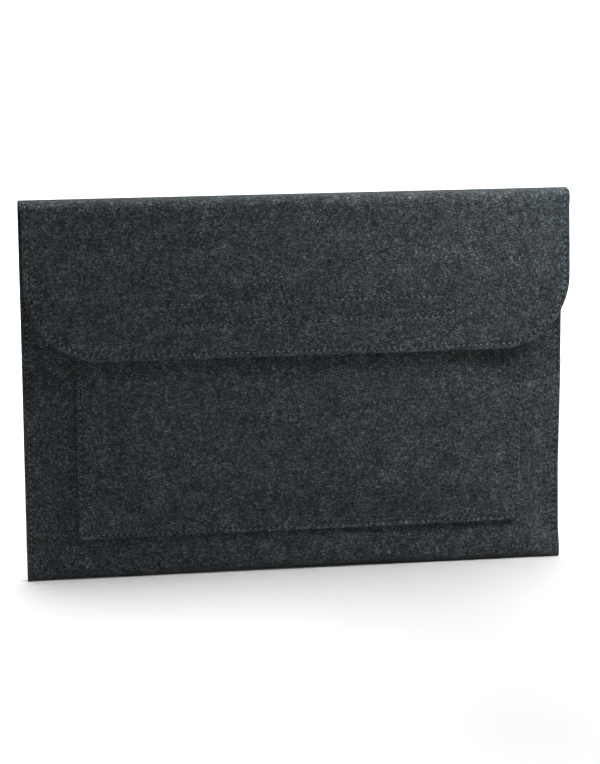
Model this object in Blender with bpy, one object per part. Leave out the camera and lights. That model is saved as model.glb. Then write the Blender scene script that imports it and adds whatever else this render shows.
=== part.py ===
"""Felt envelope sleeve for a laptop, standing on its long folded edge.

One long felt sheet makes the front, the bottom fold, the back, the top fold
and the closing flap. A patch pocket sits on the front, and two strips of
hook-and-loop tape hold the flap down. Metres, +Z up, the flap faces -Y.
"""

import math

import bmesh
import bpy
import numpy as np

# the sheet
WIDTH = 0.370
HEIGHT = 0.260
FELT = 0.0025
TOUCH = 0.0003  # room left between pieces that touch

# the laptop compartment
COMPARTMENT = 0.012  # room between front and back
BELLY = 0.005  # how far the front comes forward where it meets the bottom
BELLY_TOP = 0.060
PLATEAU = 0.154  # front and back are flat to here, then close towards the seams
SEAM_START = 0.181
MOUTH_Z = 0.247
FOLD_TOP = 0.014  # the bottom fold ends here
FOLD_RADIUS = 0.0035
FOLD_END = 0.00535  # how far the fold still bulges at the sleeve's ends
PINCH_TOP = 0.020  # the ends are closed flat above here

# the pocket
POCKET_HALF = 0.152
POCKET_BOTTOM = 0.0293
POCKET_TOP = 0.210
POCKET_ROOM = 0.0052
POCKET_FLAT = 0.105
POCKET_SEAM = 0.0023  # stitches to the pocket's edge

# the fastening tape
TAPE_HALF = 0.100
TAPE_HIGH = 0.020
TAPE_Z = 0.185
TAPE_BASE = 0.0005
TAPE_PILE = 0.0006
SELVEDGE = 0.0040
TAPE_STITCH = 0.0030

# top fold and flap
CREASE = 0.006  # bend radius at the middle of the felt
CREASE_GAP = 0.0015  # the folds are parted here, so that they can open
SLOPE = math.radians(9.0)  # the flap leans out to clear the pocket
FLAP_BEND_Z = 0.197
FLAP_BOTTOM = 0.1565
CORNER_WIDE = 0.048
CORNER_HIGH = 0.065

# the thread
THREAD_WIDE = 0.0006
THREAD_DEEP = 0.0004
SEAM_X = 0.182
TOPSTITCH = 0.0033

FRONT = 2 * FELT + COMPARTMENT
POCKET_FACE = FRONT + POCKET_ROOM + FELT
TAPE_STACK = 3 * TOUCH + 2 * (TAPE_BASE + TAPE_PILE)
FLAP_FACE = POCKET_FACE + TAPE_STACK + FELT
BACK_Y = FLAP_FACE / 2  # centres the depth on y = 0

PANEL_Z = np.array([0.0143, 0.020, 0.032, 0.046, 0.060, 0.095, 0.130, 0.165, 0.205, 0.240, MOUTH_Z])
SIDE_X = np.array([PLATEAU, 0.160, 0.1665, 0.1735, SEAM_START, WIDTH / 2])
PANEL_X = np.concatenate([-SIDE_X[::-1], [0.0], SIDE_X])

FELT_COLOUR = (0.042, 0.047, 0.051)
TAPE_COLOUR = (0.012, 0.012, 0.013)
THREAD_COLOUR = (0.060, 0.064, 0.068)


def smooth(value, start, end):
    u = np.clip((value - start) / (end - start), 0.0, 1.0)
    return u * u * (3.0 - 2.0 * u)


def outer_faces(x, z):
    """Where the outside of the back and of the front lie at a place, in y."""
    pinch = smooth(abs(x), PLATEAU, SEAM_START)
    front = -FRONT - BELLY * (1.0 - smooth(z, 0.005, BELLY_TOP))
    seam = np.interp(z, (PINCH_TOP, 0.130, 0.240), (-0.011, -0.0085, -FELT - TOUCH / 2))
    half = FELT + TOUCH / 2 + FOLD_END * (1.0 - smooth(z, 0.003, PINCH_TOP))
    return BACK_Y + (seam + half) * pinch, BACK_Y + front + (seam - half - front) * pinch


def front_face(z):
    """The flat middle of the front, as its straight facets lie."""
    return np.interp(z, PANEL_Z, [outer_faces(0.0, at)[1] for at in PANEL_Z])


def material(name, colour, roughness):
    made = bpy.data.materials.new(name)
    made.use_nodes = True
    shader = made.node_tree.nodes["Principled BSDF"]
    shader.inputs["Base Color"].default_value = (*colour, 1.0)
    shader.inputs["Roughness"].default_value = roughness
    shader.inputs["Metallic"].default_value = 0.0
    return made


def make(name, points, faces, colour, roughness=0.9, hinge=None):
    """One closed piece with its own material, with its origin on its hinge."""
    points = np.asarray(points, float).reshape(-1, 3)
    if hinge is not None:
        points = points - np.array(hinge.matrix_world.translation)
    mesh = bpy.data.meshes.new(name)
    mesh.from_pydata(points.tolist(), [], faces)
    shape = bmesh.new()
    shape.from_mesh(mesh)
    bmesh.ops.recalc_face_normals(shape, faces=shape.faces)
    shape.to_mesh(mesh)
    shape.free()
    mesh.materials.append(material(name, colour, roughness))
    piece = bpy.data.objects.new(name, mesh)
    bpy.context.scene.collection.objects.link(piece)
    piece.parent = hinge
    return piece


def slab(outer, inner):
    """Points and faces of the closed solid between two grids of points."""
    outer, inner = np.asarray(outer, float), np.asarray(inner, float)
    rows, columns = outer.shape[:2]
    count = rows * columns

    def at(i, j, side):
        return side * count + i * columns + j

    faces = []
    for i in range(rows - 1):
        for j in range(columns - 1):
            quad = [at(i, j, 0), at(i, j + 1, 0), at(i + 1, j + 1, 0), at(i + 1, j, 0)]
            faces += [quad, [k + count for k in reversed(quad)]]
    for j in range(columns - 1):
        for i in (0, rows - 1):
            faces.append([at(i, j, 0), at(i, j, 1), at(i, j + 1, 1), at(i, j + 1, 0)])
    for i in range(rows - 1):
        for j in (0, columns - 1):
            faces.append([at(i, j, 0), at(i + 1, j, 0), at(i + 1, j, 1), at(i, j, 1)])
    return np.concatenate([outer.reshape(-1, 3), inner.reshape(-1, 3)]), faces


def inside_of(profile, thickness):
    """A profile of (y, z) moved sideways by the felt's thickness, corners mitred."""
    profile = np.asarray(profile, float)
    along = np.diff(profile, axis=0)
    along /= np.linalg.norm(along, axis=1)[:, None]
    normal = np.stack([-along[:, 1], along[:, 0]], axis=1)
    before = np.concatenate([normal[:1], normal])
    after = np.concatenate([normal, normal[-1:]])
    middle = before + after
    middle /= np.linalg.norm(middle, axis=1)[:, None]
    return profile + middle * (thickness / (middle * after).sum(axis=1))[:, None]


def swept(profile, thickness, stations):
    """The solid of one (y, z) profile along x."""
    moved = inside_of(profile, thickness)
    grids = [[[(x, y, z) for y, z in line] for x in stations] for line in (profile, moved)]
    return slab(*grids)


def thread(name, line, side, closed=False, hinge=None):
    """A flat bar of thread along a line of points, on a face that looks to one side in y."""
    line = np.asarray(line, float)
    count = len(line)
    steps = np.roll(line, -1, axis=0) - line
    if not closed:
        steps[-1] = steps[-2]
    steps[:, 1] = 0.0
    steps /= np.linalg.norm(steps, axis=1)[:, None]
    back = np.roll(steps, 1, axis=0)
    if not closed:
        back[0] = steps[0]
    across = np.stack([-steps[:, 2], np.zeros(count), steps[:, 0]], axis=1)
    behind = np.stack([-back[:, 2], np.zeros(count), back[:, 0]], axis=1)
    mitre = across + behind
    mitre /= np.linalg.norm(mitre, axis=1)[:, None]
    mitre /= (mitre * across).sum(axis=1)[:, None]
    points, faces = [], []
    for at, sideways in zip(line, mitre):
        for rise, wide in ((0, -1), (0, 1), (1, 1), (1, -1)):
            lift = np.array([0.0, side * (TOUCH + rise * THREAD_DEEP), 0.0])
            points.append(at + lift + sideways * wide * THREAD_WIDE / 2)
    for i in range(count if closed else count - 1):
        near, far = 4 * i, 4 * ((i + 1) % count)
        for k in range(4):
            m = (k + 1) % 4
            faces.append([near + k, near + m, far + m, far + k])
    if not closed:
        faces.append([0, 1, 2, 3])
        faces.append([4 * (count - 1) + k for k in (3, 2, 1, 0)])
    make(name, points, faces, THREAD_COLOUR, hinge=hinge)


def arc(centre, radius, start, end, steps):
    """Points (y, z) on an arc, with angles from -Y towards +Z in degrees."""
    turns = np.radians(np.linspace(start, end, steps))
    return [(centre[0] - radius * math.cos(t), centre[1] + radius * math.sin(t)) for t in turns]


def hinge_at(name, y, z, parent=None):
    empty = bpy.data.objects.new(name, None)
    bpy.context.scene.collection.objects.link(empty)
    empty.location = (0.0, y, z)
    if parent is not None:
        empty.parent = parent
        empty.location = (0.0, y - parent.location.y, z - parent.location.z)
    bpy.context.view_layer.update()
    return empty


for old in list(bpy.data.objects):
    bpy.data.objects.remove(old, do_unlink=True)

# the two bends over the top, and the line each one turns about
BEND_Z = HEIGHT - FELT / 2 - CREASE
REAR_Y = BACK_Y - FELT / 2 - CREASE
OUTER = CREASE + FELT / 2
LEAN_TOP = BEND_Z + OUTER * math.sin(SLOPE)
FORE_Y = BACK_Y - FLAP_FACE + math.tan(SLOPE) * (LEAN_TOP - FLAP_BEND_Z) + OUTER * math.cos(SLOPE)
QUARTER = math.pi / 4
rear_hinge = hinge_at("rear_hinge", REAR_Y + QUARTER * CREASE, BEND_Z + QUARTER * CREASE)
TURN = math.pi / 2 - SLOPE
HINGE_OUT = CREASE * (TURN / 2) / math.sin(TURN / 2)
HINGE_ANGLE = math.pi / 2 - TURN / 2
fore_hinge = hinge_at(
    "fore_hinge",
    FORE_Y - HINGE_OUT * math.cos(HINGE_ANGLE),
    BEND_Z + HINGE_OUT * math.sin(HINGE_ANGLE),
    rear_hinge,
)
PARTED = math.degrees(CREASE_GAP / 2 / CREASE)

# back panel, up to the middle of the rear bend
rows = [[(x, outer_faces(x, z)[0], z) for x in PANEL_X] for z in PANEL_Z]
bend = arc((REAR_Y, BEND_Z), OUTER, 180, 135 + PARTED, 4)
inner_bend = arc((REAR_Y, BEND_Z), OUTER - FELT, 180, 135 + PARTED, 4)
outer = rows + [[(x, y, z) for x in PANEL_X] for y, z in bend]
inner = [[(x, y - FELT, z) for x, y, z in row] for row in rows]
inner += [[(x, y, z) for x in PANEL_X] for y, z in inner_bend]
make("back_panel", *slab(outer, inner), FELT_COLOUR)

# front panel, up to the mouth
outer = [[(x, outer_faces(x, z)[1], z) for x in PANEL_X] for z in PANEL_Z]
inner = [[(x, y + FELT, z) for x, y, z in row] for row in outer]
make("front_panel", *slab(outer, inner), FELT_COLOUR)

# bottom fold
outer, inner = [], []
for x in PANEL_X:
    rear, fore = outer_faces(x, FOLD_RADIUS)
    line = [(outer_faces(x, z)[0], z) for z in (FOLD_TOP, 0.0105, 0.007)]
    line += arc((rear - FOLD_RADIUS, FOLD_RADIUS), FOLD_RADIUS, 180, 270, 4)
    line += arc((fore + FOLD_RADIUS, FOLD_RADIUS), FOLD_RADIUS, 270, 360, 4)
    line += [(outer_faces(x, z)[1], z) for z in (0.007, 0.0105, FOLD_TOP)]
    moved = inside_of(line, -FELT)
    outer.append([(x, y, z) for y, z in line])
    inner.append([(x, y, z) for y, z in moved])
make("bottom_fold", *slab(outer, inner), FELT_COLOUR)

# top fold, from the middle of one bend to the middle of the other
ENDS = (-WIDTH / 2, WIDTH / 2)
FORE_MIDDLE = math.degrees(HINGE_ANGLE)
line = arc((REAR_Y, BEND_Z), OUTER, 135 - PARTED, 90, 4)
line += arc((FORE_Y, BEND_Z), OUTER, 90, FORE_MIDDLE + PARTED, 4)
make("top_fold", *swept(line, FELT, ENDS), FELT_COLOUR, hinge=rear_hinge)

# flap: out along its lean, then straight down, with large round corners
def flap_face(z):
    """The outside of the flap below its bend, in y."""
    leaning = BACK_Y - FLAP_FACE + math.tan(SLOPE) * (z - FLAP_BEND_Z)
    return np.where(z > FLAP_BEND_Z, leaning, BACK_Y - FLAP_FACE)


def flap_half(z):
    """Half of the flap's width at a height."""
    down = np.clip((FLAP_BOTTOM + CORNER_HIGH - z) / CORNER_HIGH, 0.0, 1.0)
    return WIDTH / 2 - CORNER_WIDE * (1.0 - np.sqrt(1.0 - down * down))


corner = FLAP_BOTTOM + CORNER_HIGH * (1.0 - np.sin(np.linspace(0, math.pi / 2, 13)))
corner = np.sort(np.append(corner, FLAP_BEND_Z))[::-1]
line = arc((FORE_Y, BEND_Z), OUTER, FORE_MIDDLE - PARTED, math.degrees(SLOPE), 4)
line += [(float(flap_face(z)), z) for z in corner]
moved = inside_of(line, FELT)
halves = [WIDTH / 2] * 4 + [float(flap_half(z)) for z in corner]
grids = [
    [[(side * half, y, z) for side in (-1, 1)] for (y, z), half in zip(drawn, halves)]
    for drawn in (line, moved)
]
make("flap_panel", *slab(*grids), FELT_COLOUR, hinge=fore_hinge)

# pocket, sewn down at its sides and bottom
pocket_x = np.array([POCKET_FLAT, 0.117, 0.129, 0.140, 0.149, POCKET_HALF])
pocket_x = np.concatenate([-pocket_x[::-1], [0.0], pocket_x])
pocket_z = np.array([POCKET_BOTTOM, 0.032, 0.0345, 0.039, 0.046, 0.053, 0.060, 0.130, POCKET_TOP])


def pocket_room(x, z):
    full = (1.0 - smooth(abs(x), POCKET_FLAT, 0.149)) * smooth(z, 0.032, 0.060)
    return TOUCH + (POCKET_ROOM - TOUCH) * full


inner = [[(x, front_face(z) - pocket_room(x, z), z) for x in pocket_x] for z in pocket_z]
outer = [[(x, y - FELT, z) for x, y, z in row] for row in inner]
make("front_pocket", *slab(outer, inner), FELT_COLOUR)

# fastening tape: a thin base with its pile inside a plain border
def tape(name, base_y, side, hinge=None):
    def stations(half):
        step = TAPE_BASE
        return [-half, SELVEDGE - half, SELVEDGE + step - half, half - SELVEDGE - step, half - SELVEDGE, half]

    across, up = stations(TAPE_HALF), stations(TAPE_HIGH / 2)
    base, face = [], []
    for i, z in enumerate(up):
        base.append([(x, base_y, TAPE_Z + z) for x in across])
        rises = [TAPE_BASE + TAPE_PILE * (i in (2, 3) and j in (2, 3)) for j in range(6)]
        face.append([(x, base_y + side * rise, TAPE_Z + z) for x, rise in zip(across, rises)])
    make(name, *slab(face, base), TAPE_COLOUR, 0.7, hinge)


LOOP_Y = BACK_Y - POCKET_FACE - TOUCH
HOOK_Y = BACK_Y - FLAP_FACE + FELT + TOUCH
tape("loop_strip", LOOP_Y, -1)
tape("hook_strip", HOOK_Y, 1, fore_hinge)


def tape_row(y):
    wide, high = TAPE_HALF - TAPE_STITCH, TAPE_HIGH / 2 - TAPE_STITCH
    return [(sx * wide, y, TAPE_Z + sz * high) for sx, sz in ((-1, -1), (1, -1), (1, 1), (-1, 1))]


def lifted(path, by):
    """The same line on the far side of the felt."""
    return [(x, y + by, z) for x, y, z in path]


# Each row of stitches is two threads, locked together inside the felt: the
# needle's on the outside and the bobbin's on the inside.
thread("loop_strip_stitch", tape_row(LOOP_Y - TAPE_BASE), -1, True)
thread("loop_strip_bobbin", tape_row(BACK_Y - POCKET_FACE + FELT), 1, True)
thread("hook_strip_stitch", tape_row(BACK_Y - FLAP_FACE), -1, True, fore_hinge)
thread("hook_strip_bobbin", tape_row(HOOK_Y + TAPE_BASE), 1, True, fore_hinge)

# side seams, through front and back
seam_z = np.concatenate([[0.0158], PANEL_Z[(PANEL_Z > 0.016) & (PANEL_Z < 0.244)], [0.2445]])
for name, x in (("side_seam_left", -SEAM_X), ("side_seam_right", SEAM_X)):
    for end, face, side in (("", 1, -1), ("_bobbin", 0, 1)):
        facets = [outer_faces(x, z)[face] for z in PANEL_Z]
        thread(name + end, [(x, np.interp(z, PANEL_Z, facets), z) for z in seam_z], side)

# pocket seam, down one side, along the bottom and up the other
low, edge = POCKET_BOTTOM + POCKET_SEAM, POCKET_HALF - POCKET_SEAM
rising = np.concatenate([[low], pocket_z[(pocket_z > 0.032) & (pocket_z < 0.2)], [POCKET_TOP - 0.0025]])
rising = [(z, front_face(z) - TOUCH - FELT) for z in rising]
path = [(-edge, y, z) for z, y in rising[::-1]] + [(edge, y, z) for z, y in rising]
thread("pocket_seam", path, -1)
thread("pocket_seam_bobbin", lifted(path, 2 * FELT + TOUCH), 1)

# stitching along the two open edges
z = POCKET_TOP - TOPSTITCH
path = [(x, front_face(z) - pocket_room(x, z) - FELT, z) for x in pocket_x[1:-1]]
path[0] = (0.0015 - edge, path[0][1], z)
path[-1] = (edge - 0.0015, path[-1][1], z)
thread("pocket_mouth_stitch", path, -1)
thread("pocket_mouth_bobbin", lifted(path[2:-2], FELT), 1)  # ends where the pocket closes
z = MOUTH_Z - TOPSTITCH
facets = [outer_faces(x, z)[1] for x in PANEL_X]
mouth_x = np.concatenate([[-0.1795], PANEL_X[(abs(PANEL_X) < 0.179)], [0.1795]])
path = [(x, np.interp(x, PANEL_X, facets), z) for x in mouth_x]
thread("front_mouth_stitch", path, -1)
thread("front_mouth_bobbin", lifted(path[1:-1], FELT), 1)

# topstitching round the flap
turns = np.linspace(0, math.pi / 2, 13)
wide, high = CORNER_WIDE - TOPSTITCH, CORNER_HIGH - TOPSTITCH
round_x = WIDTH / 2 - CORNER_WIDE + wide * np.cos(turns)
round_z = FLAP_BOTTOM + CORNER_HIGH - high * np.sin(turns)
bend_x = np.interp(-FLAP_BEND_Z, -round_z, round_x)
round_x = np.append(round_x, bend_x)
round_z = np.append(round_z, FLAP_BEND_Z)
order = np.argsort(-round_z)
right = [(WIDTH / 2 - TOPSTITCH, LEAN_TOP - 0.001)]
right += list(zip(round_x[order], round_z[order]))
right = [(x, float(flap_face(z)), z) for x, z in right]
path = right + [(-x, y, z) for x, y, z in right[::-1]]
thread("flap_topstitch", path, -1, hinge=fore_hinge)
thread("flap_topstitch_bobbin", lifted(path, FELT / math.cos(SLOPE)), 1, hinge=fore_hinge)
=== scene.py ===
import math

import bpy
import numpy as np
from mathutils import Matrix, Vector


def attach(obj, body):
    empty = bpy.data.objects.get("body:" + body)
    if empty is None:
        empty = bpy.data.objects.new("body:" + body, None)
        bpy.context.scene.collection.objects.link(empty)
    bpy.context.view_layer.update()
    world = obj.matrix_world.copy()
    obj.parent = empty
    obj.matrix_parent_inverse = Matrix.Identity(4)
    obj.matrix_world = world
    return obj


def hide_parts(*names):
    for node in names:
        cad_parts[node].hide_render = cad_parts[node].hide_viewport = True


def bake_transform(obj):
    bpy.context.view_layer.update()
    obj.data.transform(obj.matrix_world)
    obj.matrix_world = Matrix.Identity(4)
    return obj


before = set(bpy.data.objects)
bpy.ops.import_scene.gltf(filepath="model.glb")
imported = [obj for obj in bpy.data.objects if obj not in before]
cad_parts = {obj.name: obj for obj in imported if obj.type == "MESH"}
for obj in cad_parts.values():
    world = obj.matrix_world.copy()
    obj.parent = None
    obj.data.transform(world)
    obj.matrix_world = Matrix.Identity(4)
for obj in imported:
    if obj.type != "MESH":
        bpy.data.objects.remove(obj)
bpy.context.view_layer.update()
mm = 0.001
halfFelt = 1.25
print("frame loaded")

# All shapes are worked out in millimetres and scaled when the mesh is made.

# The long felt sheet, in the same frame as its CAD nodes.
sleeve = dict(halfWide=185.0, drawn=1.35, backY=15.15, room=12.0, mouthZ=247.0)
belly = dict(out=2.4, low=5.0, high=62.0)
fold = dict(z=10.0, long=34.0, square=3.3, lift=1.0)
pinch = dict(start=143.0, end=181.0, bulge=1.35, ahead=4.0, low=3.0, high=22.0, flare=0.35)
bend = dict(radius=6.0, z=252.75, rearY=7.9, foreY=1.0203, lean=math.radians(9.0))
flap = dict(
    bottom=154.6, left=(54.0, 53.0), right=(45.5, 49.0), faceY=-13.9, shift=-0.3, narrow=1.4, straight=(34.0, 68.0)
)
pocket = dict(half=152.0, bottom=29.3, top=210.0, room=5.2, flat=100.0, shift=2.1, seam=2.3)
tape = dict(half=100.0, high=20.0, z=185.0, base=0.5, selvedge=3.0, shift=2.6)
stitch = dict(pitch=4.0, edge=3.3, proud=0.11, slack=0.13)
# the closed side seam in front of the back, at three heights
seamPlace = dict(z=(20.0, 130.0, 240.0), y=(-11.0, -8.5, -2.6))
swell = dict(back=0.5, front=0.55, seam=0.5, flap=0.55)


def smooth(value, start, end):
    u = np.clip((value - start) / (end - start), 0.0, 1.0)
    return u * u * (3.0 - 2.0 * u)


def waves(x, z, seed, size=70.0):
    # a slow uneven swell between about -1 and 1
    total = np.zeros(np.broadcast(x, z).shape)
    for k in range(5):
        turn = seed * 1.7 + k * 2.399
        step = size * (0.55 + 0.16 * k)
        total += np.sin((x * math.cos(turn) + z * math.sin(turn)) / step * 2.2 + seed * 3.1 + k * k)
    return total / 3.2


def feltFaces(x, z):
    # middle of the felt of the back and of the front, in y
    closed = smooth(np.abs(x), pinch["start"], pinch["end"])
    soft = smooth(z, 6.0, 50.0) * (1.0 - smooth(z, 215.0, 245.0))
    back = sleeve["backY"] - halfFelt + swell["back"] * soft * (1.0 - closed) * waves(x, z, 3.0)
    front = sleeve["backY"] - 3 * halfFelt - sleeve["room"]
    front = front - belly["out"] * (1.0 - smooth(z, belly["low"], belly["high"]))
    front = front + swell["front"] * soft * (1.0 - closed) * waves(x, z, 8.0, 85.0)
    seam = sleeve["backY"] + np.interp(z, seamPlace["z"], seamPlace["y"])
    seam = seam + swell["seam"] * np.sin(z / 31.0 + np.sign(x)) * soft
    low = 1.0 - smooth(z, pinch["low"], pinch["high"])
    seam = seam - pinch["ahead"] * low
    half = halfFelt + 0.02 + pinch["bulge"] * low
    flare = pinch["flare"] * smooth(np.abs(x), pinch["end"] + 0.5, sleeve["halfWide"]) * soft
    return back + (seam + half + flare - back) * closed, front + (seam - half - flare - front) * closed


def flapLine():
    # (distance down the flap, y, z) of its middle, from the end of the front bend
    down = np.linspace(0.0, 110.0, 441)
    step = down[1] - down[0]
    lean = 1.0 - smooth(down, *flap["straight"])
    startY = bend["foreY"] - bend["radius"] * math.cos(bend["lean"])
    startZ = bend["z"] + bend["radius"] * math.sin(bend["lean"])
    angle = bend["lean"]
    for _ in range(8):
        out = np.concatenate([[0.0], np.cumsum(np.sin(angle * lean)[:-1] * step)])
        angle *= (startY - flap["faceY"]) / out[-1]
    low = np.concatenate([[0.0], np.cumsum(np.cos(angle * lean)[:-1] * step)])
    return down, startY - out, startZ - low


# Lengths along the sheet, from the front's mouth round to the flap's end.
downs, flapYs, flapZs = flapLine()
lengths = dict(
    front=sleeve["mouthZ"] - fold["z"],
    bottom=fold["long"],
    back=bend["z"] - fold["z"],
    rear=bend["radius"] * math.pi / 2,
    spine=bend["rearY"] - bend["foreY"],
    fore=bend["radius"] * (math.pi / 2 - bend["lean"]),
    flap=float(np.interp(-flap["bottom"], -flapZs, downs)),
)
marks = np.concatenate([[0.0], np.cumsum(list(lengths.values()))])
cutBack = marks[3] - 3.0
cutSpine = marks[4] + lengths["spine"] / 2


def sheetPoint(u, v):
    u, v = np.broadcast_arrays(np.asarray(u, float), np.asarray(v, float))
    y, z = np.zeros(u.shape), np.zeros(u.shape)
    # front, from the mouth down
    part = v <= marks[1]
    z[part] = sleeve["mouthZ"] - v[part]
    y[part] = feltFaces(u[part], z[part])[1]
    # bottom fold
    part = (v > marks[1]) & (v < marks[2])
    turn = (v[part] - marks[1]) / lengths["bottom"] * math.pi
    back, front = feltFaces(u[part], np.full(turn.shape, fold["z"]))
    backLow, frontLow = feltFaces(u[part], np.full(turn.shape, 4.0))
    power = 2.0 / fold["square"]
    side = np.sign(np.cos(turn)) * np.abs(np.cos(turn)) ** power
    drop = np.abs(np.sin(turn)) ** power
    front = front + (frontLow - front) * drop
    back = back + (backLow - back) * drop
    y[part] = (back + front) / 2 - side * (back - front) / 2
    lift = fold["lift"] * (1.0 - smooth(np.abs(u[part]), 40.0, 120.0))
    z[part] = fold["z"] - (fold["z"] - halfFelt - lift) * drop
    # back
    part = (v >= marks[2]) & (v <= marks[3])
    z[part] = fold["z"] + v[part] - marks[2]
    y[part] = feltFaces(u[part], z[part])[0]
    # rear bend, spine and front bend
    part = (v > marks[3]) & (v <= marks[4])
    turn = (v[part] - marks[3]) / bend["radius"]
    y[part] = bend["rearY"] + bend["radius"] * np.cos(turn)
    z[part] = bend["z"] + bend["radius"] * np.sin(turn)
    part = (v > marks[4]) & (v <= marks[5])
    y[part] = bend["rearY"] - (v[part] - marks[4])
    z[part] = bend["z"] + bend["radius"]
    part = (v > marks[5]) & (v <= marks[6])
    turn = (v[part] - marks[5]) / bend["radius"]
    y[part] = bend["foreY"] - bend["radius"] * np.sin(turn)
    z[part] = bend["z"] + bend["radius"] * np.cos(turn)
    # flap
    part = v > marks[6]
    down = v[part] - marks[6]
    across = u[part]
    free = smooth(down, 14.0, 45.0)
    tapeHold = 1.0 - 0.85 * np.exp(-(((down - 66.0) / 16.0) ** 2)) * (1.0 - smooth(np.abs(across), 96.0, 125.0))
    lift = swell["flap"] * free * tapeHold * waves(across, down, 5.0, 80.0)
    cornerOut = smooth(np.abs(across), 115.0, sleeve["halfWide"]) * smooth(down, 40.0, 90.0)
    stand = 0.7 * smooth(down, 70.0, 98.0) * (1.0 - smooth(np.abs(across), 120.0, 165.0))
    y[part] = np.interp(down, downs, flapYs) + lift - 0.5 * cornerOut - stand
    z[part] = np.interp(down, downs, flapZs)
    x = u + flap["shift"] * smooth(v, marks[6], marks[6] + 60.0)
    x = x - u / sleeve["halfWide"] * flap["narrow"] * smooth(v, marks[4], marks[6] + 8.0)
    # the right side of the body is drawn in above its corner
    height = np.where(v < marks[2], sleeve["mouthZ"] - v, fold["z"] + v - marks[2])
    body = 1.0 - smooth(v, marks[3] - 30.0, marks[3])
    x = x - sleeve["drawn"] * body * smooth(height, 15.0, 75.0) * smooth(u, 110.0, sleeve["halfWide"])
    return np.stack([x, y, z], axis=-1)


def pocketPoint(u, v):
    u, v = np.broadcast_arrays(np.asarray(u, float), np.asarray(v, float))
    x = u + pocket["shift"]
    front = feltFaces(x, v)[1] - halfFelt
    room = (1.0 - smooth(np.abs(u), pocket["flat"], pocket["half"] - 3.0)) * smooth(v, 32.0, 64.0)
    room = room * pocket["room"] * (1.0 + 0.06 * waves(u, v, 2.0, 60.0))
    edge = 0.25 * (smooth(np.abs(u), pocket["half"] - 1.5, pocket["half"]) + 1.0 - smooth(v, pocket["bottom"], 31.0))
    sag = 0.5 * smooth(v, 120.0, 210.0) * np.exp(-((u / 150.0) ** 4)) * np.cos(u / 95.0)
    return np.stack([x, front - 0.05 - room - edge - halfFelt + 0.4 * sag, v], axis=-1)


def unit(ways):
    return ways / np.linalg.norm(ways, axis=-1, keepdims=True)


def acrossSheet(place, u, v, step=0.4):
    return place(u + step, v) - place(u - step, v)


def outwards(place, u, v, flip=1.0, step=0.4):
    # which way the sheet's outer face looks
    along = place(u, v + step) - place(u, v - step)
    return unit(np.cross(acrossSheet(place, u, v, step), along) * flip)


# Flat outlines: four sides that run round the sheet, each a list of (u, v).
def sideOf(start, end, count):
    return np.stack([np.linspace(start[k], end[k], count + 1) for k in (0, 1)], axis=1)


def rectangle(u0, u1, v0, v1, columns, rows):
    return [
        sideOf((u0, v0), (u1, v0), columns),
        sideOf((u1, v0), (u1, v1), rows),
        sideOf((u1, v1), (u0, v1), columns),
        sideOf((u0, v1), (u0, v0), rows),
    ]


def even(line, count):
    gaps = np.linalg.norm(np.diff(line, axis=0), axis=1)
    along = np.concatenate([[0.0], np.cumsum(gaps)])
    at = np.linspace(0.0, along[-1], count + 1)
    return np.stack([np.interp(at, along, line[:, k]) for k in (0, 1)], axis=1)


def flapCorner(side, inset=0.0):
    # from the start of a rounded corner to its end at the flap's lower edge
    wide, high = flap[side]
    turn = np.linspace(0.0, math.pi / 2, 61)
    x = sleeve["halfWide"] - wide + (wide - inset) * np.cos(turn)
    v = marks[7] - high + (high - inset) * np.sin(turn)
    return np.stack([x if side == "right" else -x, v], axis=1)


def flapSides(start, columns, rows):
    right, left = flapCorner("right"), flapCorner("left")
    half, wide = 30, sleeve["halfWide"]
    return [
        sideOf((-wide, start), (wide, start), columns),
        even(np.concatenate([[[wide, start]], right[: half + 1]]), rows),
        even(np.concatenate([right[half:], left[::-1][: 61 - half]]), columns),
        even(np.concatenate([left[: half + 1][::-1], [[-wide, start]]]), rows),
    ]


def lineDistance(u, v, lines):
    # signed distance to the nearest polyline and the place along it
    best = np.full(u.shape, 1e6)
    signed, along = np.full(u.shape, 40.0), np.zeros(u.shape)
    for line in lines:
        run = 0.0
        for a, b in zip(line[:-1], line[1:]):
            d = b - a
            size = float(np.hypot(*d))
            t = np.clip(((u - a[0]) * d[0] + (v - a[1]) * d[1]) / size**2, 0.0, 1.0)
            gapU, gapV = u - a[0] - t * d[0], v - a[1] - t * d[1]
            far = np.hypot(gapU, gapV)
            nearer = far < best
            best = np.where(nearer, far, best)
            sign = np.sign(d[0] * gapV - d[1] * gapU) + (far < 1e-9)
            signed = np.where(nearer, far * sign, signed)
            along = np.where(nearer, run + t * size, along)
            run += size
    return signed, along


def edgeProfile(distance, half):
    # how thick half of the sheet is near a cut edge
    radius = 0.4 * half
    inside = np.clip(distance / radius, 0.0, 1.0)
    return half - radius + radius * np.sqrt(1.0 - (1.0 - inside) ** 2)


# distances from a cut edge at which the mesh has a ring of points
rings = [0.0, 0.04, 0.16, 0.5, 1.4, 2.4, 3.3, 4.1, 5.0]
seamDent = dict(deep=0.24, wide=0.95)
turnSlide = 25.0


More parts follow.
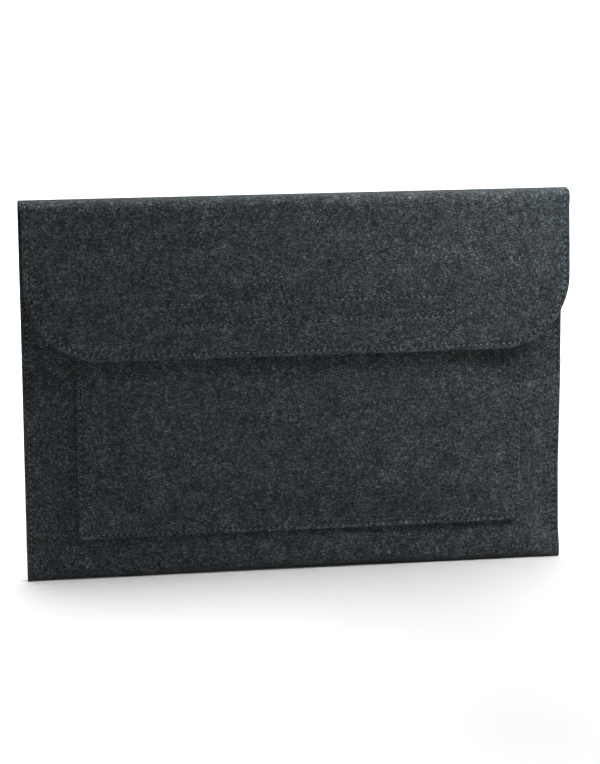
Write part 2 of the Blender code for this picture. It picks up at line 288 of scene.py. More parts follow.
def insetLoop(sides, by):
    # the outline moved inwards; near a sharp corner the points slide along too, so that none cross
    ways = []
    for side in sides:
        ways.append(unit(np.gradient(side, axis=0)))
    loop = []
    for k, side in enumerate(sides):
        before, after = ways[k - 1][-1], ways[(k + 1) % 4][0]
        way = ways[k].copy()
        gaps = np.linalg.norm(np.diff(side, axis=0), axis=1)
        along = np.concatenate([[0.0], np.cumsum(gaps)])
        reach = min(turnSlide, along[-1] / 2)
        slide = np.zeros(len(side))
        if way[0] @ before < 0.5:
            slide += np.clip(1.0 - along / reach, 0.0, 1.0)
        else:
            way[0] = unit(way[0] + before)
        if way[-1] @ after < 0.5:
            slide -= np.clip(1.0 - (along[-1] - along) / reach, 0.0, 1.0)
        inwards = np.stack([-way[:, 1], way[:, 0]], axis=1)
        loop.append((side + by * (inwards + way * slide[:, None]))[:-1])
    return np.concatenate(loop)


def coons(sides):
    # a grid of points stretched between four sides
    low, right, high, left = sides
    high, left = high[::-1], left[::-1]
    s = np.linspace(0.0, 1.0, len(low))[None, :, None]
    t = np.linspace(0.0, 1.0, len(right))[:, None, None]
    straight = (1 - t) * low[None] + t * high[None] + (1 - s) * left[:, None] + s * right[:, None]
    corners = (1 - s) * (1 - t) * low[0] + s * (1 - t) * low[-1] + (1 - s) * t * high[0] + s * t * high[-1]
    return straight - corners


def feltMesh(name, sides, place, edgeGap, lines, material, flip=1.0, half=halfFelt):
    # a closed sheet with round cut edges and a dent along each line of stitches
    counts = [len(side) - 1 for side in sides]
    around = sum(counts)
    inner = insetLoop(sides, rings[-1])
    starts = np.concatenate([[0], np.cumsum(counts)])
    innerSides = [
        np.concatenate([inner[starts[k] : starts[k + 1]], inner[[starts[k + 1] % len(inner)]]]) for k in range(4)
    ]
    grid = coons(innerSides)
    rows, columns = grid.shape[:2]
    flat = np.concatenate([grid.reshape(-1, 2)] + [insetLoop(sides, distance) for distance in rings[-2::-1]])
    index = np.arange(rows * columns).reshape(rows, columns)
    border = np.concatenate([index[0, :-1], index[:-1, -1], index[-1, :0:-1], index[:0:-1, 0]])
    loops = [border] + [rows * columns + k * around + np.arange(around) for k in range(len(rings) - 1)]
    quads = np.stack([index[:-1, :-1], index[:-1, 1:], index[1:, 1:], index[1:, :-1]], axis=-1).reshape(-1, 4)
    for near, far in zip(loops[:-1], loops[1:]):
        quads = np.concatenate([quads, np.stack([far, np.roll(far, -1), np.roll(near, -1), near], axis=1)])
    u, v = flat[:, 0], flat[:, 1]
    signed, along = lineDistance(u, v, lines)
    pulled = 0.8 + 0.2 * np.cos(along / stitch["pitch"] * 2 * math.pi)
    dent = seamDent["deep"] * half * np.exp(-((signed / seamDent["wide"]) ** 2)) * pulled
    thick = edgeProfile(edgeGap(u, v), half) - dent
    centre, normal = place(u, v), outwards(place, u, v, flip)
    total = len(flat)
    points = np.concatenate([centre + normal * thick[:, None], centre - normal * thick[:, None]])
    wall = np.stack([loops[-1], loops[-1] + total, np.roll(loops[-1], -1) + total, np.roll(loops[-1], -1)], axis=1)
    faces = np.concatenate([quads, quads[:, ::-1] + total, wall])
    if flip < 0:
        faces = faces[:, ::-1]
    spot = np.stack([np.tile(u, 2), np.tile(v, 2), np.concatenate([thick, -thick])], axis=1)
    seams = np.stack([np.tile(signed, 2), np.tile(along, 2), np.tile(edgeGap(u, v), 2)], axis=1)
    return meshPiece(name, points, faces, material, sharp=True, flat=spot * mm, seam=seams)


def meshPiece(name, points, faces, material, sharp=False, **vectors):
    mesh = bpy.data.meshes.new(name)
    mesh.from_pydata((np.asarray(points) * mm).tolist(), [], [list(face) for face in faces])
    for key, values in vectors.items():
        layer = mesh.attributes.new(key, "FLOAT_VECTOR", "POINT")
        layer.data.foreach_set("vector", np.asarray(values, np.float32).ravel())
    mesh.shade_smooth()
    if sharp:
        mesh.set_sharp_from_angle(angle=math.radians(48.0))
    mesh.materials.append(material)
    piece = bpy.data.objects.new(name, mesh)
    bpy.context.scene.collection.objects.link(piece)
    return piece


# Materials.
def colour(text):
    # from a hex colour to linear light
    channels = [int(text[k : k + 2], 16) / 255 for k in (1, 3, 5)]
    return [c / 12.92 if c <= 0.04045 else ((c + 0.055) / 1.055) ** 2.4 for c in channels] + [1.0]


def addNode(tree, kind, inputs=None, **settings):
    made = tree.nodes.new(kind)
    for key, value in settings.items():
        setattr(made, key, value)
    for key, value in (inputs or {}).items():
        socket = made.inputs[key]
        if isinstance(value, bpy.types.NodeSocket):
            tree.links.new(value, socket)
        else:
            socket.default_value = value
    return made


def maths(tree, operation, *values):
    return addNode(tree, "ShaderNodeMath", dict(enumerate(values)), operation=operation).outputs[0]


def newMaterial(name):
    material = bpy.data.materials.new(name)
    material.use_nodes = True
    tree = material.node_tree
    return material, tree, tree.nodes["Principled BSDF"]


def ramp(tree, factor, stops):
    made = addNode(tree, "ShaderNodeValToRGB", {0: factor})
    elements = made.color_ramp.elements
    while len(elements) < len(stops):
        elements.new(0.5)
    for element, (at, shade) in zip(elements, stops):
        element.position, element.color = at, shade
    return made.outputs[0]


# Pressed needle felt of mixed dark and light polyester fibres: matt, with a fine speckle that
# gathers in small clumps, and slow clouds where the web is uneven.
# Each noise has its share of the logarithm of the brightness, and its own middle.
felt = dict(
    cool="#2c3134",
    warm="#2e3133",
    clouds=(1.3, 0.509),
    clumps=(2.8, 0.5),
    grain=(7.3, 0.5),
    fibres=(4.2, 0.6),
)
cloth = dict(roughness=0.95, specular=0.15, sheen=0.05, sheenRoughness=0.4, sheenTint="#c9d2d8")


def feltMaterial(name):
    material, tree, shader = newMaterial(name)
    flat = addNode(tree, "ShaderNodeAttribute", attribute_name="flat")
    spot = addNode(tree, "ShaderNodeVectorMath", {0: flat.outputs["Vector"], 3: 1000.0}, operation="SCALE").outputs[0]

    def noise(scale, detail, rough, source=spot, distortion=0.0):
        return addNode(
            tree,
            "ShaderNodeTexNoise",
            {"Vector": source, "Scale": scale, "Detail": detail, "Roughness": rough, "Distortion": distortion},
        )

    # about 12 mm, 3 mm and 0.8 mm wide; single fibres are too fine to show and are drawn 0.4 mm wide
    clouds = noise(0.085, 3.0, 0.55).outputs[0]
    clumps = noise(0.36, 3.0, 0.6, distortion=0.6).outputs[0]
    grain = noise(1.2, 3.0, 0.65).outputs[0]
    # curly fibres: noise drawn out along three directions and bent by a slower one
    bendy = noise(0.5, 2.0, 0.5).outputs["Color"]
    curled = addNode(
        tree, "ShaderNodeVectorMath", {0: bendy, 1: (3.2, 3.2, 1.0), 2: spot}, operation="MULTIPLY_ADD"
    ).outputs[0]
    fibres = None
    for turn, scale in ((0.35, 1.0), (1.45, 1.15), (2.5, 0.9)):
        turned = addNode(
            tree,
            "ShaderNodeMapping",
            {"Vector": curled, "Rotation": (0.0, 0.0, turn), "Scale": (0.34 * scale, 2.6 * scale, 1.6)},
        ).outputs[0]
        strand = noise(1.0, 2.0, 0.5, turned).outputs[0]
        fibres = strand if fibres is None else maths(tree, "MAXIMUM", fibres, strand)
    mixed = None
    for key, part in dict(clouds=clouds, clumps=clumps, grain=grain, fibres=fibres).items():
        share, middle = felt[key]
        shifted = maths(tree, "SUBTRACT", part, middle)
        if mixed is None:
            mixed = maths(tree, "MULTIPLY", shifted, share)
        else:
            mixed = maths(tree, "MULTIPLY_ADD", shifted, share, mixed)
    # stitch holes and the pulled-in felt beside them, sunk as a bump and painted darker as painted shade in the dent;
    # and a painted highlight that makes the felt lighter near its cut edges
    seam = addNode(tree, "ShaderNodeAttribute", attribute_name="seam")
    split = addNode(tree, "ShaderNodeSeparateXYZ", {0: seam.outputs["Vector"]})
    across, along = split.outputs[0], split.outputs[1]
    near = maths(tree, "EXPONENT", maths(tree, "MULTIPLY", maths(tree, "MULTIPLY", across, across), -1.3))
    holes = maths(tree, "COSINE", maths(tree, "MULTIPLY", along, 2 * math.pi / stitch["pitch"]))
    seamDentAndShade = maths(tree, "MULTIPLY", near, maths(tree, "MULTIPLY_ADD", holes, 0.5, 0.5))
    # painted highlight: the felt's colour is lighter near its cut edges
    cutEdgeHighlight = maths(tree, "EXPONENT", maths(tree, "MULTIPLY", split.outputs[2], -1.1))
    lit = maths(tree, "MULTIPLY_ADD", cutEdgeHighlight, 0.3, mixed)
    # painted shade: the colour is darker along the stitch lines
    tone = maths(tree, "EXPONENT", maths(tree, "MULTIPLY_ADD", seamDentAndShade, -0.5, lit))
    drift = addNode(
        tree,
        "ShaderNodeMapRange",
        {0: noise(0.03, 4.0, 0.6).outputs[0], 1: 0.4, 2: 0.6},
        interpolation_type="SMOOTHSTEP",
    ).outputs[0]
    cool, warm = colour(felt["cool"])[:3], colour(felt["warm"])[:3]
    hue = addNode(tree, "ShaderNodeMix", {0: drift, 4: cool, 5: warm}, data_type="VECTOR").outputs[1]
    shade = addNode(tree, "ShaderNodeVectorMath", {0: hue, 3: tone}, operation="SCALE").outputs[0]
    height = maths(tree, "MULTIPLY_ADD", clumps, 0.5, maths(tree, "MULTIPLY_ADD", grain, 0.35, fibres))
    nap = addNode(tree, "ShaderNodeBump", {"Strength": 0.7, "Distance": 0.0004, "Height": height})
    sunk = addNode(
        tree,
        "ShaderNodeBump",
        {
            "Strength": 0.8,
            "Distance": 0.0005,
            "Height": maths(tree, "MULTIPLY", seamDentAndShade, -1.0),
            "Normal": nap.outputs[0],
        },
    )
    tree.links.new(shade, shader.inputs["Base Color"])
    tree.links.new(sunk.outputs[0], shader.inputs["Normal"])
    shader.inputs["Roughness"].default_value = cloth["roughness"]
    shader.inputs["Specular IOR Level"].default_value = cloth["specular"]
    shader.inputs["Sheen Weight"].default_value = cloth["sheen"]
    shader.inputs["Sheen Roughness"].default_value = cloth["sheenRoughness"]
    shader.inputs["Sheen Tint"].default_value = colour(cloth["sheenTint"])
    return material


def threadMaterial(name, shade):
    # twisted polyester: a soft sheen on its round top; its colour has darker specks about 0.5 mm long, painted shade
    # for the grooves of the twist
    material, tree, shader = newMaterial(name)
    place = addNode(tree, "ShaderNodeTexCoord").outputs["Object"]
    speck = addNode(tree, "ShaderNodeTexNoise", {"Vector": place, "Scale": 2200.0, "Detail": 2.0}).outputs[0]
    # painted shade: the darker colour stands for the shade in the twist
    dark = [c * 0.55 for c in colour(shade)[:3]] + [1.0]
    tree.links.new(ramp(tree, speck, [(0.3, dark), (0.7, colour(shade))]), shader.inputs["Base Color"])
    bump = addNode(tree, "ShaderNodeBump", {"Strength": 0.5, "Distance": 0.0001, "Height": speck})
    tree.links.new(bump.outputs[0], shader.inputs["Normal"])
    shader.inputs["Roughness"].default_value = 0.6
    shader.inputs["Sheen Weight"].default_value = 0.2
    return material


def tapeMaterial(name, shade, weave):
    # woven nylon tape: nearly black, with small lighter glints on its loops or hooks
    material, tree, shader = newMaterial(name)
    place = addNode(tree, "ShaderNodeTexCoord").outputs["Object"]
    cells = addNode(tree, "ShaderNodeTexVoronoi", {"Vector": place, "Scale": weave}).outputs["Distance"]
    fuzz = addNode(tree, "ShaderNodeTexNoise", {"Vector": place, "Scale": 900.0, "Detail": 4.0}).outputs[0]
    light = [min(1.0, c * 2.6 + 0.01) for c in colour(shade)[:3]] + [1.0]
    both = maths(tree, "MULTIPLY_ADD", fuzz, 0.6, maths(tree, "MULTIPLY", cells, 0.5))
    tree.links.new(ramp(tree, both, [(0.25, colour(shade)), (0.85, light)]), shader.inputs["Base Color"])
    bump = addNode(tree, "ShaderNodeBump", {"Strength": 0.7, "Distance": 0.0002, "Height": both})
    tree.links.new(bump.outputs[0], shader.inputs["Normal"])
    shader.inputs["Roughness"].default_value = 0.7
    shader.inputs["Sheen Weight"].default_value = 0.3
    return material


materials = dict(
    felt=feltMaterial("charcoal melange felt"),
    fuzz=threadMaterial("loose polyester fibre", "#5d6366"),
    thread=threadMaterial("grey sewing thread", "#747a7e"),
    loop=tapeMaterial("black loop tape", "#141416", 700.0),
    hook=tapeMaterial("black hook tape", "#101012", 1400.0),
)


# Stitch lines in the sheet's flat coordinates.
def seamLines(side):
    x = side * (sleeve["halfWide"] - stitch["edge"])
    front = np.array([[x, marks[1] - 5.0], [x, 3.0]])
    back = np.array([[x, marks[2] + 5.0], [x, cutBack - 4.0]])
    return front, back


mouthReach = dict(front=179.0, pocket=148.0)
mouthLine = np.array([[-mouthReach["front"], stitch["edge"]], [mouthReach["front"], stitch["edge"]]])
tapeDown = float(np.interp(-tape["z"], -flapZs, downs)) + marks[6]
onPocket = tape["shift"] - pocket["shift"]
onFlap = tape["shift"] - flap["shift"]


def flapLineFlat():
    right, left = flapCorner("right", stitch["edge"]), flapCorner("left", stitch["edge"])
    x, start = sleeve["halfWide"] - stitch["edge"], cutSpine + 1.5
    return np.concatenate([[[x, start]], right, left[::-1], [[-x, start]]])


def tapeLineFlat(at, middle):
    wide, high = tape["half"] - tape["selvedge"], tape["high"] / 2 - tape["selvedge"]
    corners = [(-wide, -high), (wide, -high), (wide, high), (-wide, high), (-wide, -high)]
    return np.array([(at + x, middle + y) for x, y in corners])


def pocketLineFlat():
    x, low, high = pocket["half"] - pocket["seam"], pocket["bottom"] + pocket["seam"], pocket["top"] - 2.5
    return np.array([(-x, high), (-x, low), (x, low), (x, high)])


flapEdgeLine, pocketSeam = flapLineFlat(), pocketLineFlat()
hookLine, loopLine = tapeLineFlat(onFlap, tapeDown), tapeLineFlat(onPocket, tape["z"])
pocketMouthV = pocket["top"] - stitch["edge"]
pocketMouth = np.array([[-mouthReach["pocket"], pocketMouthV], [mouthReach["pocket"], pocketMouthV]])


# The sheet itself, in three pieces that meet where the felt lies flat.
def bodyEdge(u, v):
    # only the mouth's end of the piece is cut, the other end goes on into the top fold
    return np.minimum(sleeve["halfWide"] - np.abs(u), np.where(v < 100.0, v, 50.0))


def sideEdge(u, v):
    return sleeve["halfWide"] - np.abs(u)


def flapEdge(u, v):
    wide, start = sleeve["halfWide"], cutSpine - 9.0
    line = [[[wide, start]], flapCorner("right"), flapCorner("left")[::-1], [[-wide, start]]]
    return np.abs(lineDistance(u, v, [np.concatenate(line)])[0])


fullWide = 2 * sleeve["halfWide"]
gap = 2.1
columns = int(fullWide / gap)
bodyLines = [*seamLines(-1), *seamLines(1), mouthLine]
bodyFelt = feltMesh(
    "sleeve_felt",
    rectangle(-sleeve["halfWide"], sleeve["halfWide"], 0.0, cutBack, columns, int(cutBack / gap)),
    sheetPoint,
    bodyEdge,
    bodyLines,
    materials["felt"],
    flip=-1.0,
)
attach(bodyFelt, "sleeve_body")
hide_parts("back_panel", "bottom_fold", "front_panel")

# the top fold has no stitches of its own
farLine = np.array([[-1e4, 0.0], [-1e4, 1.0]])
topFelt = feltMesh(
    "top_fold_felt",
    rectangle(-sleeve["halfWide"], sleeve["halfWide"], cutBack, cutSpine, columns, 16),
    sheetPoint,
    sideEdge,
    [farLine],
    materials["felt"],
    flip=-1.0,
)
foreEnd = (0.0, *[float(part) for part in sheetPoint(0.0, marks[6] + 0.01)[1:]])


def bendRear(piece):
    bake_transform(piece)


def bendFore(piece):
    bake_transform(piece)


bendRear(topFelt)
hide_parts("top_fold")

flapFiner = 0.75
flapFelt = feltMesh(
    "flap_felt",
    flapSides(cutSpine, int(fullWide / (gap * flapFiner)), int(125 / (gap * flapFiner))),
    sheetPoint,
    flapEdge,
    [flapEdgeLine, hookLine],
    materials["felt"],
    flip=-1.0,
)
bendFore(flapFelt)
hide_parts("flap_panel")
print("sheet made")


# The pocket.
def insidePocket(u, v):
    return np.minimum.reduce([pocket["half"] - np.abs(u), v - pocket["bottom"], pocket["top"] - v])


pocketColumns, pocketRows = int(2 * pocket["half"] / gap), int(180 / gap)
pocketFelt = feltMesh(
    "pocket_felt",
    rectangle(-pocket["half"], pocket["half"], pocket["bottom"], pocket["top"], pocketColumns, pocketRows),
    pocketPoint,
    insidePocket,
    [pocketSeam, pocketMouth, loopLine],
    materials["felt"],
)
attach(pocketFelt, "sleeve_body")
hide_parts("front_pocket")
print("pocket made")


def insideFlap(u, v):
    # positive inside the flap's outline
    wide = np.where(u > 0, flap["right"][0], flap["left"][0])
    high = np.where(u > 0, flap["right"][1], flap["left"][1])
    across = np.clip((np.abs(u) - sleeve["halfWide"] + wide) / wide, 0.0, 1.0)
    low = marks[7] - high * (1.0 - np.sqrt(1.0 - across**2))
    return np.minimum(low - v, sleeve["halfWide"] - np.abs(u))


def pocketBehind(u, v):
    # the inner face of the front, behind the pocket's seam
    return sheetPoint(u + pocket["shift"], sleeve["mouthZ"] - v)


# Small curved tubes repeated over points: stitches, loops, hooks and loose fibres.
tubeInputs = dict(
    Geometry="Geometry",
    Start="Vector",
    Middle="Vector",
    End="Vector",
    Radius="Float",
    Sides="Int",
    Steps="Int",
    Turn="Vector",
    Least="Float",
    Most="Float",
    Seed="Int",
    Material="Material",
)


def tubeTree():
    tree = bpy.data.node_groups.new("tubes on points", "GeometryNodeTree")
    tree.interface.new_socket("Geometry", in_out="OUTPUT", socket_type="NodeSocketGeometry")
    for key, kind in tubeInputs.items():
        tree.interface.new_socket(key, in_out="INPUT", socket_type="NodeSocket" + kind)
    given = addNode(tree, "NodeGroupInput").outputs
    bow = addNode(
        tree,
        "GeometryNodeCurveQuadraticBezier",
        {"Resolution": given["Steps"], "Start": given["Start"], "Middle": given["Middle"], "End": given["End"]},
    )
    ring = addNode(
        tree, "GeometryNodeCurvePrimitiveCircle", {"Resolution": given["Sides"], "Radius": given["Radius"]}
    )
    tube = addNode(
        tree, "GeometryNodeCurveToMesh", {"Curve": bow.outputs[0], "Profile Curve": ring.outputs[0], "Fill Caps": True}
    )
    # every tube stands on the sheet along "out" and lies along "ahead", with a small random turn
    out = addNode(tree, "GeometryNodeInputNamedAttribute", {"Name": "out"}, data_type="FLOAT_VECTOR")
    ahead = addNode(tree, "GeometryNodeInputNamedAttribute", {"Name": "ahead"}, data_type="FLOAT_VECTOR")
    upright = addNode(tree, "FunctionNodeAlignRotationToVector", {"Vector": out.outputs[0]}, axis="Z")
    facing = addNode(
        tree,
        "FunctionNodeAlignRotationToVector",
        {"Rotation": upright.outputs[0], "Vector": ahead.outputs[0]},
        axis="X",
        pivot_axis="Z",
    )
    back = addNode(tree, "ShaderNodeVectorMath", {0: given["Turn"], 3: -1.0}, operation="SCALE").outputs[0]
    turn = addNode(
        tree, "FunctionNodeRandomValue", {0: back, 1: given["Turn"], "Seed": given["Seed"]}, data_type="FLOAT_VECTOR"
    )
    euler = addNode(tree, "FunctionNodeEulerToRotation", {0: turn.outputs[0]})
    rotated = addNode(
        tree,
        "FunctionNodeRotateRotation",
        {"Rotation": facing.outputs[0], "Rotate By": euler.outputs[0]},
        rotation_space="LOCAL",
    )
    size = addNode(
        tree,
        "FunctionNodeRandomValue",
        {2: given["Least"], 3: given["Most"], "Seed": given["Seed"]},
        data_type="FLOAT",
    )
    placed = addNode(
        tree,
        "GeometryNodeInstanceOnPoints",
        {
            "Points": given["Geometry"],
            "Instance": tube.outputs[0],
            "Rotation": rotated.outputs[0],
            "Scale": size.outputs[1],
        },
    )
    real = addNode(tree, "GeometryNodeRealizeInstances", {0: placed.outputs[0]})
    shown = addNode(tree, "GeometryNodeSetMaterial", {"Geometry": real.outputs[0], "Material": given["Material"]})
    done = addNode(tree, "NodeGroupOutput")
    tree.links.new(shown.outputs[0], done.inputs[0])
    return tree


tubes = tubeTree()
rooted = 0.02
tubeKinds = dict(
    stitch=dict(
        Start=(-1.25, 0.0, -0.5),
        Middle=(0.0, 0.0, 0.5),
        End=(1.25, 0.0, -0.5),
        Radius=0.17,
        Sides=8,
        Steps=10,
        Turn=(0.03, 0.03, 0.05),
        Least=0.94,
        Most=1.04,
    ),
    loop=dict(
        Start=(-0.3, 0.0, -0.1),
        Middle=(0.05, 0.1, 1.15),
        End=(0.3, 0.05, -0.1),
        Radius=0.05,
        Sides=3,
        Steps=6,
        Turn=(0.5, 0.5, 3.1),
        Least=0.75,
        Most=1.1,
    ),
    hook=dict(
        Start=(0.0, 0.0, -0.1),
        Middle=(0.0, 0.0, 1.25),
        End=(0.42, 0.0, 0.28),
        Radius=0.075,
        Sides=4,
        Steps=6,
        Turn=(0.08, 0.08, 0.15),
        Least=0.9,
        Most=1.05,
    ),
    fibre=dict(
        Start=(-0.5, 0.0, -0.16),
        Middle=(0.15, 0.45, 0.75),
        End=(0.9, -0.1, 0.1),
        Radius=0.016,
        Sides=3,
        Steps=4,
        Turn=(0.5, 0.5, 3.1),
        Least=0.5,
        Most=1.5,
    ),
)


def tubePiece(name, kind, points, ahead, out, material, seed):
    base = meshPiece(name, points, [], material, ahead=ahead, out=out)
    modifier = base.modifiers.new("tubes", "NODES")
    modifier.node_group = tubes
    values = dict(tubeKinds[kind], Seed=seed, Material=material)
    for item in tubes.interface.items_tree:
        if item.in_out == "INPUT" and item.name in values:
            value = values[item.name]
            if item.name in ("Start", "Middle", "End"):
                value = [c * mm for c in value]
            elif item.name == "Radius":
                value = value * mm
            modifier[item.identifier] = value
    ready = base.evaluated_get(bpy.context.evaluated_depsgraph_get())
    mesh = bpy.data.meshes.new_from_object(ready)
    base.modifiers.remove(modifier)
    old, base.data = base.data, mesh
    bpy.data.meshes.remove(old)
    mesh.name = name
    mesh.shade_smooth()
    return base


def alongLines(lines):
    # a point and a direction in the middle of every stitch
    spots, ways = [], []
    for line in lines:
        gaps = np.diff(line, axis=0)
        sizes = np.hypot(*gaps.T)
        reach = np.concatenate([[0.0], np.cumsum(sizes)])
        at = np.arange(stitch["pitch"] / 2, reach[-1], stitch["pitch"])
        which = np.clip(np.searchsorted(reach, at, side="right") - 1, 0, len(gaps) - 1)
        way = gaps[which] / sizes[which][:, None]
        spots.append(line[which] + way * (at - reach[which])[:, None])
        ways.append(way)
    return np.concatenate(spots), np.concatenate(ways)


def stitchRow(name, lines, place, flip, side, half, sunk, seed):
    spots, ways = alongLines(lines)
    u, v = spots.T
    out = outwards(place, u, v, flip) * side
    before, after = spots - 0.5 * ways, spots + 0.5 * ways
    ahead = unit(place(*after.T) - place(*before.T))
    tension = np.random.default_rng(seed).uniform(0.0, stitch["slack"], len(u))
    points = place(u, v) + out * (half - stitch["proud"] - sunk - tension)[:, None]
    return tubePiece(name, "stitch", points, ahead, out, materials["thread"], seed)


def looseFibres(name, count, area, place, flip, inside, seed):
    # most fibres stand on the outer face, the others on the inner one
    random = np.random.default_rng(seed)
    u = random.uniform(area[0], area[1], count)
    v = random.uniform(area[2], area[3], count)
    keep = inside(u, v) > 0.3
    u, v = u[keep], v[keep]
    side = np.where(random.random(len(u)) < 0.72, 1.0, -1.0)
    out = outwards(place, u, v, flip) * side[:, None]
    points = place(u, v) + out * (halfFelt - rooted)
    return tubePiece(name, "fibre", points, unit(acrossSheet(place, u, v)), out, materials["fuzz"], seed)


def rideSleeve(piece):
    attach(piece, "sleeve_body")


def rideFlap(piece):
    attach(piece, "flap")


# Fastening tapes: one sewn to the pocket's face, the other under the flap.
halfTape = tape["base"] / 2
tapeOff = halfFelt + halfTape - rooted


def loopPoint(u, v):
    return pocketPoint(u, v) + outwards(pocketPoint, u, v) * tapeOff


def hookPoint(u, v):
    return sheetPoint(u, v) - outwards(sheetPoint, u, v, -1.0) * tapeOff


# side is the sheet's face that the pile stands on, astray how far it strays from its rows
tapes = [
    dict(
        name="loop", place=loopPoint, flip=1.0, side=1.0, at=onPocket, middle=tape["z"], line=loopLine,
        under="pocket_felt", hold=rideSleeve, seed=31, gap=0.95, astray=1.0,
    ),
    dict(
        name="hook", place=hookPoint, flip=-1.0, side=-1.0, at=onFlap, middle=tapeDown, line=hookLine,
        under="flap_felt", hold=rideFlap, seed=32, gap=1.15, astray=0.0,
    ),
]
pileInset = tape["selvedge"] - 0.6
for row in tapes:
    u0, u1 = row["at"] - tape["half"], row["at"] + tape["half"]
    v0, v1 = row["middle"] - tape["high"] / 2, row["middle"] + tape["high"] / 2

    def tapeEdge(u, v):
        return np.minimum.reduce([u - u0, u1 - u, v - v0, v1 - v])

    web = feltMesh(
        row["name"] + "_tape",
        rectangle(u0, u1, v0, v1, 100, 8),
        row["place"],
        tapeEdge,
        [row["line"]],
        materials[row["name"]],
        flip=row["flip"],
        half=halfTape,
    )
    random = np.random.default_rng(row["seed"])
    u, v = np.meshgrid(
        np.arange(u0 + pileInset, u1 - pileInset + 0.1, row["gap"]),
        np.arange(v0 + pileInset, v1 - pileInset + 0.1, row["gap"]),
    )
    u = u.ravel() + random.uniform(-0.3, 0.3, u.size) * row["astray"]
    v = v.ravel() + random.uniform(-0.3, 0.3, v.size) * row["astray"]
    out = outwards(row["place"], u, v, row["flip"]) * row["side"]
    pile = tubePiece(
        row["name"] + "_pile",
        row["name"],
        row["place"](u, v) + out * halfTape,
        unit(acrossSheet(row["place"], u, v)),
        out,
        materials[row["name"]],
        row["seed"],
    )
    for piece in (web, pile):
        row["hold"](piece)
    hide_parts(row["name"] + "_strip")
print("tapes made")

# Threads: name, lines, sheet, which way it faces, side of the thread, half the sheet's thickness, body.
seamLeft, seamRight = seamLines(-1), seamLines(1)
pocketSunk = 0.06
threads = [
    ("side_seam_left", [seamLeft[0]], sheetPoint, -1.0, 1.0, halfFelt, rideSleeve),
    ("side_seam_left_bobbin", [seamLeft[1]], sheetPoint, -1.0, 1.0, halfFelt, rideSleeve),
    ("side_seam_right", [seamRight[0]], sheetPoint, -1.0, 1.0, halfFelt, rideSleeve),
    ("side_seam_right_bobbin", [seamRight[1]], sheetPoint, -1.0, 1.0, halfFelt, rideSleeve),
    ("pocket_seam", [pocketSeam], pocketPoint, 1.0, 1.0, halfFelt, rideSleeve),
    ("pocket_seam_bobbin", [pocketSeam], pocketBehind, -1.0, -1.0, halfFelt, rideSleeve),
    ("pocket_mouth_stitch", [pocketMouth], pocketPoint, 1.0, 1.0, halfFelt, rideSleeve),
    ("pocket_mouth_bobbin", [pocketMouth], pocketPoint, 1.0, -1.0, halfFelt, rideSleeve),
    ("front_mouth_stitch", [mouthLine], sheetPoint, -1.0, 1.0, halfFelt, rideSleeve),
    ("front_mouth_bobbin", [mouthLine], sheetPoint, -1.0, -1.0, halfFelt, rideSleeve),
    ("flap_topstitch", [flapEdgeLine], sheetPoint, -1.0, 1.0, halfFelt, bendFore),
    ("flap_topstitch_bobbin", [flapEdgeLine], sheetPoint, -1.0, -1.0, halfFelt, bendFore),
    ("hook_strip_stitch", [hookLine], sheetPoint, -1.0, 1.0, halfFelt, rideFlap),
    ("hook_strip_bobbin", [hookLine], hookPoint, -1.0, -1.0, halfTape, rideFlap),
    ("loop_strip_stitch", [loopLine], loopPoint, 1.0, 1.0, halfTape, rideSleeve),
    ("loop_strip_bobbin", [loopLine], pocketPoint, 1.0, -1.0, halfFelt, rideSleeve),
]
for seed, (node, lines, place, flip, side, half, hold) in enumerate(threads):
    sunk = pocketSunk if node.startswith("pocket_seam") else 0.0
    row = stitchRow(node + "_thread", lines, place, flip, side, half, sunk, seed + 1)
    hold(row)
    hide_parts(node)
print("threads made")

# Loose fibres that stand off the felt: name, how many, area, sheet, which way it faces, outline, body.
few = 1.0
firstSeed = 50
wide, pocketWide = sleeve["halfWide"] - 1.0, pocket["half"] - 1.0
pocketArea = (-pocketWide, pocketWide, pocket["bottom"], pocket["top"])
fuzzRows = [
    ("sleeve_fuzz", 5500, (-wide, wide, 1.0, cutBack - 1.0), sheetPoint, -1.0, bodyEdge, rideSleeve),
    ("top_fold_fuzz", 450, (-wide, wide, cutBack, cutSpine), sheetPoint, -1.0, sideEdge, bendRear),
    ("flap_fuzz", 3600, (-wide, wide, cutSpine, marks[7] + 3.0), sheetPoint, -1.0, insideFlap, bendFore),
    ("pocket_fuzz", 3200, pocketArea, pocketPoint, 1.0, insidePocket, rideSleeve),
]
for seed, (name, count, area, place, flip, inside, hold) in enumerate(fuzzRows):
    fuzz = looseFibres(name, int(count * few), area, place, flip, inside, firstSeed + seed)
    hold(fuzz)
print("fibres made")

# Camera, light and floor.
view = dict(yaw=9.040, pitch=14.584, roll=0.189, aim=(1.41, 0.0, 132.33), away=1636.85, lens=114.0625131)


def lookFrom():
    yaw, pitch, roll = (math.radians(view[key]) for key in ("yaw", "pitch", "roll"))
    ahead = Vector((math.sin(yaw) * math.cos(pitch), math.cos(yaw) * math.cos(pitch), -math.sin(pitch)))
    right = Vector((math.cos(yaw), -math.sin(yaw), 0.0))
    up = right.cross(ahead)
    level = math.cos(roll) * right + math.sin(roll) * up
    over = -math.sin(roll) * right + math.cos(roll) * up
    place = Vector(view["aim"]) * mm - ahead * view["away"] * mm
    return Matrix.Translation(place) @ Matrix([level, over, -ahead]).transposed().to_4x4()


scene = bpy.context.scene
lens = bpy.data.cameras.new("camera")
lens.sensor_width, lens.lens = 36.0, view["lens"]
camera = bpy.data.objects.new("camera", lens)
scene.collection.objects.link(camera)
camera.matrix_world = lookFrom()
scene.camera = camera
scene.view_settings.view_transform = "Standard"


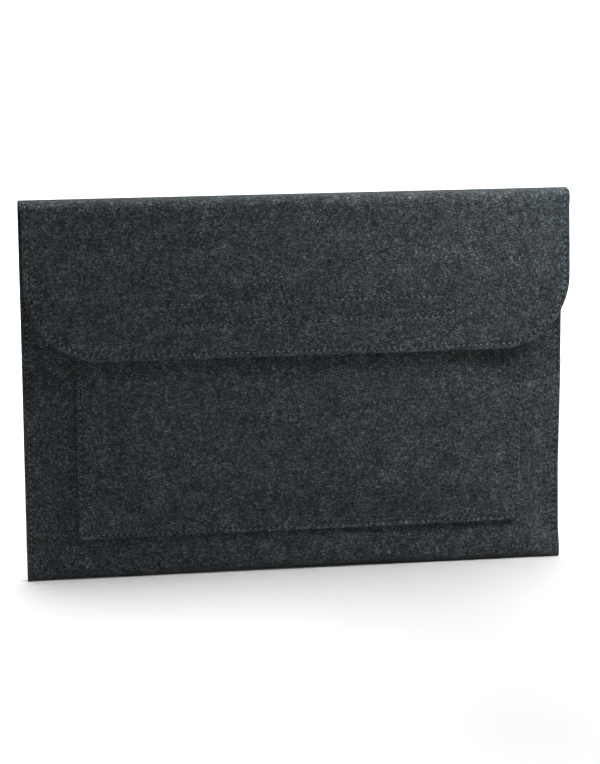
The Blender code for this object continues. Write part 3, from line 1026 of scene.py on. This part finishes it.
lights = dict(
    key=dict(place=(0.42, -0.24, 0.55), aim=(0.15, 0.0, 0.13), size=0.2, power=2.75, spread=180.0),
    softbox=dict(place=(0.0, 0.3, 1.3), aim=(0.0, 0.0, 0.0), size=1.2, power=29.0, spread=180.0),
    accent=dict(place=(0.25, -0.45, 1.1), aim=(0.27, 0.0, 0.11), size=0.35, power=0.6, spread=36.0),
)
ambient = 0.24


def addLight(name, place, aim, size, power, spread):
    data = bpy.data.lights.new(name, "AREA")
    data.shape, data.size, data.energy = "DISK", size, power
    data.spread = math.radians(spread)
    light = bpy.data.objects.new(name, data)
    light.location = place
    light.rotation_euler = (Vector(aim) - Vector(place)).to_track_quat("-Z", "Y").to_euler()
    scene.collection.objects.link(light)


for name, row in lights.items():
    addLight(name, **row)
world = bpy.data.worlds.new("studio")
world.use_nodes = True
world.node_tree.nodes["Background"].inputs[0].default_value = (1.0, 1.0, 1.0, 1.0)
world.node_tree.nodes["Background"].inputs[1].default_value = ambient
scene.world = world

# A round white floor with painted light, a glow that brightens it outwards, and painted shade on its right, and a
# white bowl behind it that lights nothing.
floorLook = dict(glowFrom=0.25, glowTo=0.62, glow=0.6, left=-0.17, right=0.12, leftPaintedTone=0.8, rightPaintedShade=0.46)
bowlGlow = 1.1
# matt white paint: no gloss, soft shadows; painted darker towards the right as painted shade, and given a painted glow
# away from the middle
floorMaterial, floorTree, floorShader = newMaterial("white floor")
place = addNode(floorTree, "ShaderNodeTexCoord").outputs["Object"]
far = addNode(floorTree, "ShaderNodeVectorMath", {0: place}, operation="LENGTH").outputs["Value"]
# painted light: the floor glows more away from the middle
glow = addNode(
    floorTree,
    "ShaderNodeMapRange",
    {0: far, 1: floorLook["glowFrom"], 2: floorLook["glowTo"], 3: 0.0, 4: floorLook["glow"]},
    interpolation_type="SMOOTHSTEP",
)
floorTree.links.new(glow.outputs[0], floorShader.inputs["Emission Strength"])
across = addNode(floorTree, "ShaderNodeSeparateXYZ", {0: place}).outputs[0]
# painted shade: the floor's colour goes from 0.8 on the left to 0.46 on the right
white = addNode(
    floorTree,
    "ShaderNodeMapRange",
    {0: across, 1: floorLook["left"], 2: floorLook["right"], 3: floorLook["leftPaintedTone"], 4: floorLook["rightPaintedShade"]},
    interpolation_type="SMOOTHSTEP",
)
floorTree.links.new(white.outputs[0], floorShader.inputs["Base Color"])
floorShader.inputs["Emission Color"].default_value = (1.0, 1.0, 1.0, 1.0)
floorShader.inputs["Roughness"].default_value = 0.9
bowlMaterial, _, bowlShader = newMaterial("white backdrop")
bowlShader.inputs["Base Color"].default_value = (0.8, 0.8, 0.8, 1.0)
bowlShader.inputs["Emission Color"].default_value = (1.0, 1.0, 1.0, 1.0)
bowlShader.inputs["Emission Strength"].default_value = bowlGlow


def turned(name, profile, material, around=96):
    # a profile of (radius, height) turned round Z
    turn = np.arange(around) / around * 2 * math.pi
    points = [(r * math.cos(t), r * math.sin(t), z) for r, z in profile for t in turn]
    faces = [
        (k * around + i, k * around + (i + 1) % around, (k + 1) * around + (i + 1) % around, (k + 1) * around + i)
        for k in range(len(profile) - 1)
        for i in range(around)
    ]
    if profile[0][0] < 1.0:
        faces.append(tuple(range(around)))
    return meshPiece(name, points, [list(face) for face in faces], material)


floorReach, bowlFlat, bowlRound, bowlHigh = 650.0, 2200.0, 800.0, 3500.0
disc = turned("floor", [(0.5, 0.0), (300.0, 0.0), (floorReach, 0.0)], floorMaterial)
turns = np.linspace(0.0, math.pi / 2, 12)
bowlCurve = [(bowlFlat + bowlRound * math.sin(t), bowlRound - bowlRound * math.cos(t)) for t in turns]
bowl = turned("backdrop", [(floorReach, 0.0), *bowlCurve, (bowlFlat + bowlRound, bowlHigh)], bowlMaterial)
bowl.visible_diffuse = bowl.visible_glossy = bowl.visible_shadow = False
